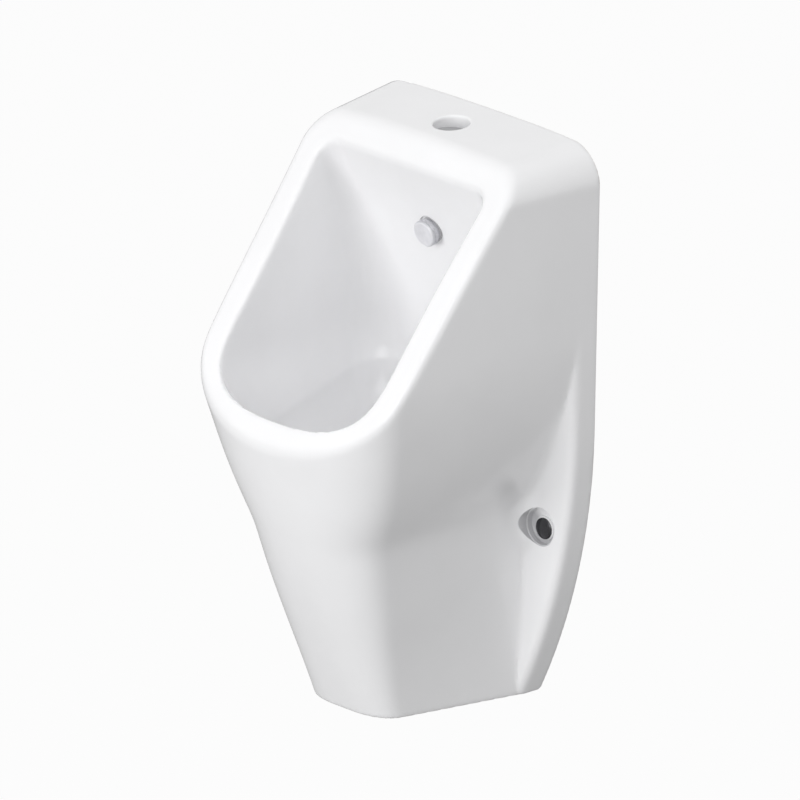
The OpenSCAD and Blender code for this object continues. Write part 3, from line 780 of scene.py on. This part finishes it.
def cutter_mesh():
    """Every hole and seat in the body as one set of closed turned shapes, in mm."""
    def flare(r, z, out, n=6):
        return [(r + out - out * math.cos(a), z - out + out * math.sin(a))
                for a in (math.pi / 2 * k / n for k in range(n + 1))]

    inlet = [(0, 505), (22.5, 505), (22.5, 545.79), (17.5, 545.79), *flare(17.5, 556.8, 2.2), (19.7, 575),
             (0, 575)]
    me = lathe("cut_inlet", inlet, 128, False)
    # the flared mouth leans with the top face
    for vert in me.vertices:
        if vert.co.z > 550:
            vert.co.z += 0.1056 * vert.co.y
    parts = [moved(me, AT_INLET)]
    head = [(0, -34), (17, -34), (17, -10), (10.5, -10), (10.5, 0), (15, 0), (15, 12), (0, 12)]
    parts.append(moved(lathe("cut_head", head, 96, False), AT_HEAD))
    waste = [(0, 202), (37, 202), (37, 210), (23, 210), (23, 222), (34, 222), (34, 232), (0, 232)]
    parts.append(moved(lathe("cut_waste", waste, 96, False), AT_WASTE))
    hole = [(0, -26), (8, -26), (8, -0.8), (8.8, 0), (11.5, 0), (11.5, 9.4), (12.1, 10), (12.1, 12), (0, 12)]
    recess = [(0, 10), (17.2, 10), (18, 10.8), *flare(18, 17.05, 1.1), (19.1, 66), (0, 66)]
    for s in (1, -1):
        parts.append(moved(lathe("cut_hole", hole, 96, False), AT_FIX[s]))
        lifted_recess = AT_FIX[s] @ local((0, RECESS_UP, 0))
        parts.append(moved(lathe("cut_recess", recess, 128, False), lifted_recess))
    return joined("cutters", parts)


class URINAL_OT_body(Operator):
    """Build the fired body: slanting bowl, soft rim, belly, skirt, back plate and hollow back"""
    bl_idname = "urinal.body"
    bl_label = "Ceramic body"

    def execute(self, context):
        p = context.scene.urinal_body
        me, pts = body_mesh(p)
        ob = bpy.data.objects.new("ceramic_body_glazed", me)
        context.scene.collection.objects.link(ob)
        # the hidden hollow needs fewer faces than what the eye meets
        x, v, z = pts.T
        deep = (outer_f(x, v, z) < -6) & (inner_f(x, v, z) > 5) & (rim_f(v, z) < -6)
        hidden = np.flatnonzero(deep & (v > 3) & (z > 6))
        group = ob.vertex_groups.new(name="hollow")
        group.add(hidden.tolist(), 1.0, "REPLACE")
        goal = BODY_FACES / (2 * len(me.polygons))
        if goal < 1:
            mod = ob.modifiers.new("thin", "DECIMATE")
            mod.ratio, mod.vertex_group, mod.vertex_group_factor = goal, "hollow", 1000.0
        cutter = bpy.data.objects.new("cutters", cutter_mesh())
        context.scene.collection.objects.link(cutter)
        cut = ob.modifiers.new("holes", "BOOLEAN")
        cut.operation, cut.solver, cut.object = "DIFFERENCE", "EXACT", cutter
        dg = context.evaluated_depsgraph_get()
        done = bpy.data.meshes.new_from_object(ob.evaluated_get(dg), depsgraph=dg)
        bpy.data.objects.remove(ob)
        bpy.data.objects.remove(cutter)
        done.name = "ceramic_body_glazed"
        smooth(done, 38)
        place("ceramic_body_glazed", done, Matrix(), glaze_mat(p), "shell", ZONES)
        return {"FINISHED"}


class URINAL_OT_spray_head(Operator):
    """Build the spray head, with slots round its edge, and its front washer"""
    bl_idname = "urinal.spray_head"
    bl_label = "Spray head"

    def execute(self, context):
        shell = [(0, 12.9), (10.9, 12.9), (12.0, 12.6), (13.1, 11.6), (13.35, 11.0), (13.35, 10.0),
                 (12.5, 9.4), (12.5, 8.9), (13.0, 8.5), (13.0, 5.2), (12.4, 4.6), (12.0, 4.4), (12.0, 2.3),
                 (11.7, 2.0), (10.35, 2.0), (10.05, 2.3), (10.05, 10.0), (0, 10.0)]
        core = lathe("spray_head", round_corners(shell, 0.25, 2, False), 120, False)
        head = ribbed(core, "satin", context.scene.urinal_fittings.slots, 12.75, 1.35, 3.0, 6.85)
        fit("spray_head", head, AT_HEAD, "satin", "nozzle_head", "spray_head")
        washer = ring_piece("w", 13, 10.05, 0, 2, 0.5)
        fit("spray_head_washer", washer, AT_HEAD, "pale", "nozzle_gasket_front", "head_gasket")
        return {"FINISHED"}


class URINAL_OT_side_caps(Operator):
    """Build the two domed chrome caps over the side fixings"""
    bl_idname = "urinal.side_caps"
    bl_label = "Side caps"

    def execute(self, context):
        dome = [(9.7 * k / 8, 15.0 - 1.5 * (k / 8) ** 2.2) for k in range(9)]
        cup = dome + [(10.4, 12.9), (10.5, 12.2), (10.5, 3.5), (10.2, 3.2), (8.1, 3.2), (7.8, 3.5),
                      (7.8, 11.0), (0, 11.0)]
        for s, cap in ((1, "cap_right"), (-1, "cap_left")):
            # the caps' near-black chrome is a painted reflection
            fit(cap + "_domed", lathe(cap, cup, 96, False), AT_FIX[s], "cap_painted_reflection", cap, cap, 40)
        return {"FINISHED"}


class URINAL_OT_grate(Operator):
    """Build the perforated grate with its knob and spigot"""
    bl_idname = "urinal.grate"
    bl_label = "Waste grate"

    def execute(self, context):
        turn = [math.radians(180 - 15 * k) for k in range(9)]
        ball = [(6.0 * math.sin(a), 235 - 6.0 * math.cos(a)) for a in turn]
        prof = ball + [(4.6, 231.1), (4.5, 229.6), (5.6, 229.0), (24.8, 229.6), (28.6, 228.3), (29.0, 227.6),
                       (29.0, 226.5), (28.6, 226.1), (18.9, 226.1), (18.9, 216.3), (18.6, 216.0),
                       (17.8, 216.0), (17.5, 216.3), (17.5, 226.1), (0, 226.1)]
        grate = grown("grate", lathe("grate", prof, 96, False), perforations_tree(), {
            "Outer count": context.scene.urinal_fittings.holes, "Outer radius": 14.6, "Inner radius": 9.6,
            "Hole width": 3.6, "Height": 228.0, "Material": fitting_mats()["chrome"][0]})
        fit("grate", grate, AT_WASTE, "chrome", "strainer", "grate")
        return {"FINISHED"}


class URINAL_OT_waste(Operator):
    """Build the waste flange, its washers and its back nut"""
    bl_idname = "urinal.waste"
    bl_label = "Waste fitting"

    def execute(self, context):
        prof = [(19, 166), (22, 166), (22, 224), (33, 224), (33, 227.5), (29.1, 227.5), (29.1, 226),
                (19, 226)]
        flange = lathe("flange", round_corners(prof, [0.4, 0.4, 0, 0.6, 0.8, 0.3, 0.2, 0.6]))
        fit("waste_flange_turned", flange, AT_WASTE, "chrome", "waste_flange")
        for side, ro, z0, z1 in (("upper", 32, 222, 224), ("lower", 33, 207, 210)):
            washer = ring_piece(side, ro, 22, z0, z1, 0.6)
            fit("waste_washer_" + side, washer, AT_WASTE, "black", "waste_gasket_" + side)
        fit("waste_back_nut", hex_nut("nut", 62, 44, 198, 207), AT_WASTE, "brass", "waste_nut")
        return {"FINISHED"}


class URINAL_OT_hand_nuts(Operator):
    """Build the ribbed hand nuts and the ribbed cup of the trap"""
    bl_idname = "urinal.hand_nuts"
    bl_label = "Hand nuts and trap cup"

    def execute(self, context):
        n = context.scene.urinal_fittings.grips
        slip = [(26, 167), (30, 167), (30, 191), (22.2, 191), (22.2, 187), (26, 187)]
        outlet = [(23, -12), (27, -12), (27, 11), (20.2, 11), (20.2, 7), (23, 7)]
        for name, prof, at, ribs in (("slip_nut", slip, AT_WASTE, (n, 29.2, 4.2, 20.0, 179.0)),
                                     ("outlet_nut", outlet, AT_OUTLET, (n - 2, 26.2, 4.2, 19.0, -0.5))):
            core = lathe(name + "_ribbed", round_corners(prof, 0.6))
            fit(name + "_ribbed", ribbed(core, "plastic", *ribs), at, "plastic", name)
        prof = [(0, 46.0), (30, 46.3), (34.8, 52), (34.8, 103), (32.1, 103), (32.1, 92.5), (29, 92.5),
                (29, 53), (26.5, 50.4), (0, 50)]
        core = lathe("cup", round_corners(prof, [0, 3, 3, 0.6, 0.5, 0.2, 0.3, 2, 2, 0], 4, False), 96, False)
        cup = ribbed(core, "plastic", n, 34.9, 4.2, 19.0, 91.5)
        fit("trap_cup_ribbed", cup, AT_WASTE, "plastic", "trap_cup", "cup")
        seal = ring_piece("seal", 32, 29.1, 92.5, 96, 0.8)
        fit("trap_cup_ring", seal, AT_WASTE, "black", "trap_cup_seal", "cup_seal")
        return {"FINISHED"}


class URINAL_OT_trap(Operator):
    """Build the inner tube, the outlet pipe and the seals of the trap, and finish its moulded body"""
    bl_idname = "urinal.trap"
    bl_label = "Trap and outlet"

    def execute(self, context):
        dip = [(16.5, 80), (19, 80), (19, 158), (22, 158), (22, 163), (16.5, 163)]
        fit("dip_tube_moulded", lathe("dip", round_corners(dip, 0.4)), AT_WASTE, "plastic", "dip_tube")
        pipe = [(18, 3), (22.8, 3), (22.8, 6.8), (20, 6.8), (20, 38), (30, 46), (30, 69), (27.5, 69),
                (27.5, 48), (24, 46.5), (18, 42)]
        pipe = lathe("pipe", round_corners(pipe, 0.7))
        fit("outlet_pipe_moulded", pipe, AT_OUTLET, "plastic", "outlet_pipe")
        seal = [(25, 57), (27.5, 57), (27.5, 66), (25, 66), (25, 63.4), (26, 62.6), (26, 60.4), (25, 59.6)]
        fit("wall_seal_ring", lathe("seal", round_corners(seal, 0.5)), AT_OUTLET, "black", "wall_seal")
        fit("outlet_seal_ring", ring_piece("ring", 22.8, 18, 0, 3, 0.8), AT_OUTLET, "black", "outlet_seal")
        cone = [(22, 182), (23.5, 182), (25.75, 187), (22, 187)]
        fit("slip_cone", lathe("cone", round_corners(cone, 0.4)), AT_WASTE, "black", "cone_washer")
        finish_carried("trap_body", "plastic")
        return {"FINISHED"}


def finish_carried(name, kind):
    """Gives one of the frame's own objects one of the materials."""
    for s in bpy.data.objects[name].material_slots:
        s.material = fitting_mats()[kind][0]


class URINAL_OT_inlet(Operator):
    """Build the inlet seal, tube and elbow, and the stem and nut behind the spray head"""
    bl_idname = "urinal.inlet"
    bl_label = "Water inlet"

    def execute(self, context):
        lo_b, hi_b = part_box("inlet_seal")
        z0, z1 = lo_b[2] / MM, hi_b[2] / MM
        seal = [(10, z0), (14, z0), (14, 542.8), (21.5, 542.8), (21.5, 545.7), (17.4, 545.7), (17.4, z1),
                (15, z1), (13.2, z1 - 1.2), (10, z1 - 1.2)]
        fit("inlet_seal_ring", lathe("seal", round_corners(seal, 0.5)), AT_INLET, "grey", "inlet_seal")
        lo_b, hi_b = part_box("inlet_tube")
        tube = ring_piece("tube", 10, 8, lo_b[2] / MM, hi_b[2] / MM, 0.5)
        fit("inlet_tube_drawn", tube, AT_INLET, "chrome", "inlet_tube")
        fit("elbow_ring", ring_piece("ring", 12.5, 10, 502, 505, 1.2), AT_INLET, "black", "elbow_seal")
        fit("stem_turned", ring_piece("stem", 10, 6, -30, 9.5, 0.6), AT_HEAD, "brass", "nozzle_stem")
        fit("stem_nut", hex_nut("nut", 27, 20, -18, -12), AT_HEAD, "brass", "nozzle_nut")
        fit("stem_washer", ring_piece("ring", 15, 10, -12, -10, 0.5), AT_HEAD, "black", "nozzle_gasket_rear")
        finish_carried("inlet_elbow", "brass")
        return {"FINISHED"}


class URINAL_OT_fixings(Operator):
    """Build the sleeves, washers and nuts of the side fixings"""
    bl_idname = "urinal.fixings"
    bl_label = "Side fixings"

    def execute(self, context):
        sleeve = round_corners([(5.2, -FIX_Y), (8, -FIX_Y), (8, 0), (11, 0), (11, 1.5), (5.2, 1.5)], 0.3)
        for name, cad_node, kind, make in (
                ("fixing_sleeves_moulded", "fixing_sleeves", "plastic", lambda: lathe("s", sleeve, 64)),
                ("fixing_washers_pressed", "fixing_washers", "zinc",
                 lambda: ring_piece("w", 9, 5.2, 1.5, 3, 0.25, 64)),
                ("fixing_nuts_forged", "fixing_nuts", "zinc", lambda: hex_nut("n", 13, 8.4, 3, 9.5))):
            pair = joined("pair", [moved(make(), AT_FIX[s]) for s in (1, -1)])
            fit(name, pair, Matrix(), kind, cad_node)
        return {"FINISHED"}


# The camera fitted to the photo: its axes, its place in metres, and its focus and shift in pixels
CAM_RIGHT = (0.69117292, 0.72247494, 0.01760556)
CAM_UP = (-0.24992204, 0.21609392, 0.94384447)
CAM_BEHIND = (0.67809952, -0.65675976, 0.32992068)
CAM_PLACE = (13.563408, -13.246129, 6.892709)
CAM_FOCUS, CAM_SHIFT, PICTURE, SENSOR = 21174.6, -0.6, 800, 36.0


class URINAL_OT_stage(Operator):
    """Build the pale floor, the soft light and the camera at the photo's angle"""
    bl_idname = "urinal.stage"
    bl_label = "Stage"

    def execute(self, context):
        sc = context.scene
        st = sc.urinal_stage
        sc.view_settings.view_transform = "Standard"
        # an even sky, white where it is seen directly or in a reflection
        world = bpy.data.worlds.new("studio")
        sc.world = world
        world.use_nodes = True
        nt = world.node_tree
        back = nt.nodes["Background"]
        path = node(nt, "ShaderNodeLightPath").outputs
        seen = path["Is Camera Ray"]
        for ray in ("Is Glossy Ray", "Is Transmission Ray"):
            seen = math_node(nt, "MAXIMUM", seen, path[ray])
        level = node(nt, "ShaderNodeMapRange", {"Value": seen, "To Min": st.sky, "To Max": 1.0})
        back.inputs["Color"].default_value = (1, 1, 1, 1)
        nt.links.new(level.outputs[0], back.inputs["Strength"])
        # floor: white to the camera, keeps the shadow
        bpy.ops.mesh.primitive_plane_add(size=60, location=(0, 0, 0))
        floor = context.active_object
        floor.name = "floor"
        floor.data.transform(Matrix.Translation((0, 0, -st.floor_drop)))
        mat, nt, bsdf, co = material("pale_floor")
        grey = ramp(nt, noise(nt, co, 3, 4), (0.44, 0.44, 0.44), (0.46, 0.46, 0.46))
        nt.links.new(grey, bsdf.inputs["Base Color"])
        bsdf.inputs["Roughness"].default_value = 0.9
        glow = node(nt, "ShaderNodeEmission", {"Color": (1, 1, 1, 1)})
        seen = node(nt, "ShaderNodeLightPath").outputs["Is Camera Ray"]
        both = node(nt, "ShaderNodeMixShader", {
            0: math_node(nt, "MULTIPLY", seen, 0.96), 1: bsdf.outputs[0], 2: glow.outputs[0]})
        nt.links.new(both.outputs[0], nt.nodes["Material Output"].inputs["Surface"])
        floor.data.materials.append(mat)
        # lamps: direction, size in metres, power; only the right one shows in the glaze
        middle = Vector((0, -0.15, 0.3))
        lamps = {"key": ((-0.12, -0.98, 0.14), 1.7, st.key), "right": ((0.5, -0.78, 0.37), 2.6, st.right),
                 "top": ((0.1, 0.3, 0.95), 2.6, st.top), "side": ((0.6, -0.1, 0.8), 2.0, st.side)}
        for name, (towards, size, power) in lamps.items():
            lamp = bpy.data.lights.new(name, "AREA")
            lamp.shape, lamp.size, lamp.energy = "SQUARE", size, power
            lit = bpy.data.objects.new(name, lamp)
            sc.collection.objects.link(lit)
            lit.location = middle + 4 * Vector(towards).normalized()
            lit.visible_glossy = name == "right"
            lit.rotation_mode = "QUATERNION"
            lit.rotation_quaternion = (middle - lit.location).to_track_quat("-Z", "Y")
        cam = bpy.data.cameras.new("camera")
        cam.sensor_width, cam.lens, cam.shift_x = SENSOR, SENSOR * CAM_FOCUS / PICTURE, CAM_SHIFT / PICTURE
        cam.clip_start, cam.clip_end = 1.0, 100.0
        ob = bpy.data.objects.new("camera", cam)
        sc.collection.objects.link(ob)
        m = Matrix((CAM_RIGHT, CAM_UP, CAM_BEHIND)).transposed().to_4x4()
        m.translation = CAM_PLACE
        ob.matrix_world = m
        sc.camera = ob
        return {"FINISHED"}


class URINAL_PT_panel(Panel):
    """Sidebar panel with the settings and the steps"""
    bl_idname = "URINAL_PT_panel"
    bl_label = "Urinal"
    bl_space_type = "VIEW_3D"
    bl_region_type = "UI"
    bl_category = "Urinal"

    def draw(self, context):
        for group in ("urinal_body", "urinal_fittings", "urinal_stage"):
            box = self.layout.box()
            props = getattr(context.scene, group)
            for name in props.__annotations__:
                box.prop(props, name)
        for op in STEPS:
            self.layout.operator(op.bl_idname)


STEPS = (URINAL_OT_stage, URINAL_OT_body, URINAL_OT_spray_head, URINAL_OT_side_caps, URINAL_OT_grate,
         URINAL_OT_waste, URINAL_OT_hand_nuts, URINAL_OT_trap, URINAL_OT_inlet, URINAL_OT_fixings)
GROUPS = {"urinal_body": UrinalBody, "urinal_fittings": UrinalFittings, "urinal_stage": UrinalStage}
CLASSES = (*GROUPS.values(), *STEPS, URINAL_PT_panel)


def register():
    for c in CLASSES:
        bpy.utils.register_class(c)
    for name, group in GROUPS.items():
        setattr(bpy.types.Scene, name, PointerProperty(type=group))


def unregister():
    for name in GROUPS:
        delattr(bpy.types.Scene, name)
    for c in reversed(CLASSES):
        bpy.utils.unregister_class(c)


def main():
    register()
    for op in STEPS:
        area, name = op.bl_idname.split(".")
        getattr(getattr(bpy.ops, area), name)()


if __name__ == "__main__":
    main()
